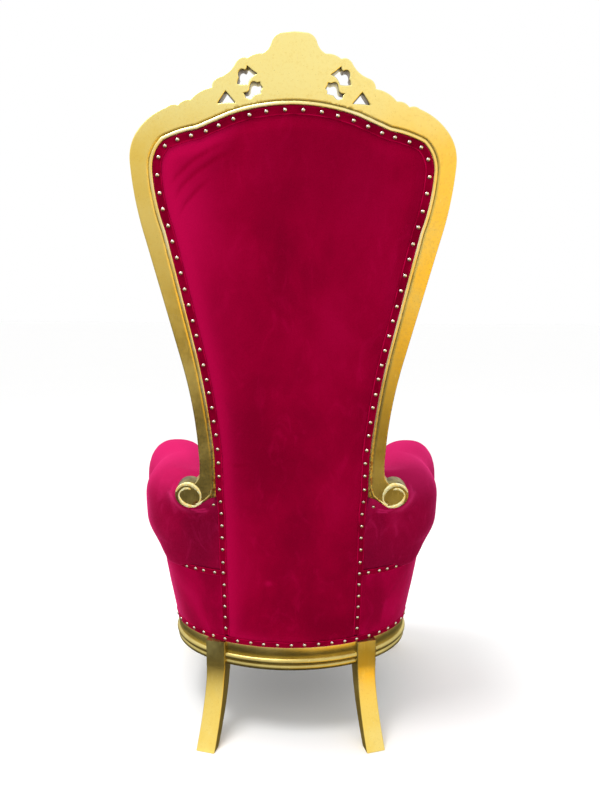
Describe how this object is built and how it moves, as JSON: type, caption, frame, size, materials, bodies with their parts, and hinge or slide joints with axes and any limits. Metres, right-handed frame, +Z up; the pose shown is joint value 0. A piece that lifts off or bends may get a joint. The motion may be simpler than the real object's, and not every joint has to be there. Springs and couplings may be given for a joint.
{
  "type": "throne chair",
  "caption": "Tall fan-backed throne chair with a gilded carved and pierced crest, scrolled stiles, nailed velvet back, rolled barrel arms, reeded gilt seat rail and sabre rear legs.",
  "frame": {"origin": "on the floor, under the middle of the chair's bounding box", "axes": "+Z up; the chair faces -Y, so its carved and nailed back is on the +Y side; +X is the sitter's left"},
  "size_m": [0.967, 0.8594, 1.8055],
  "materials": {
    "gilt_wood": "carved hardwood under gold leaf, burnished on the raised parts",
    "velvet": "crimson cut-pile velvet",
    "raw_wood": "unfinished sawn frame wood",
    "dust_cloth": "black non-woven cloth, tacked under the seat"
  },
  "bodies": {
    "root": {"arm_facing_left": "velvet", "arm_facing_right": "velvet", "arm_left": "velvet", "arm_right": "velvet", "arm_strip_left": "velvet", "arm_strip_right": "velvet", "back_frame": "gilt_wood", "back_strip": "velvet", "cushion": "velvet", "dust_cover": "dust_cloth", "front_leg_left": "gilt_wood", "front_leg_right": "gilt_wood", "front_rail": "gilt_wood", "inside_back": "velvet", "outside_arm_left": "velvet", "outside_arm_right": "velvet", "outside_back": "velvet", "rail_strip": "velvet", "rear_leg_left": "gilt_wood", "rear_leg_right": "gilt_wood", "rear_rail": "gilt_wood", "seat_base": "raw_wood", "seat_deck": "velvet", "side_rail_left": "gilt_wood", "side_rail_right": "gilt_wood"}
  },
  "joints": []
}
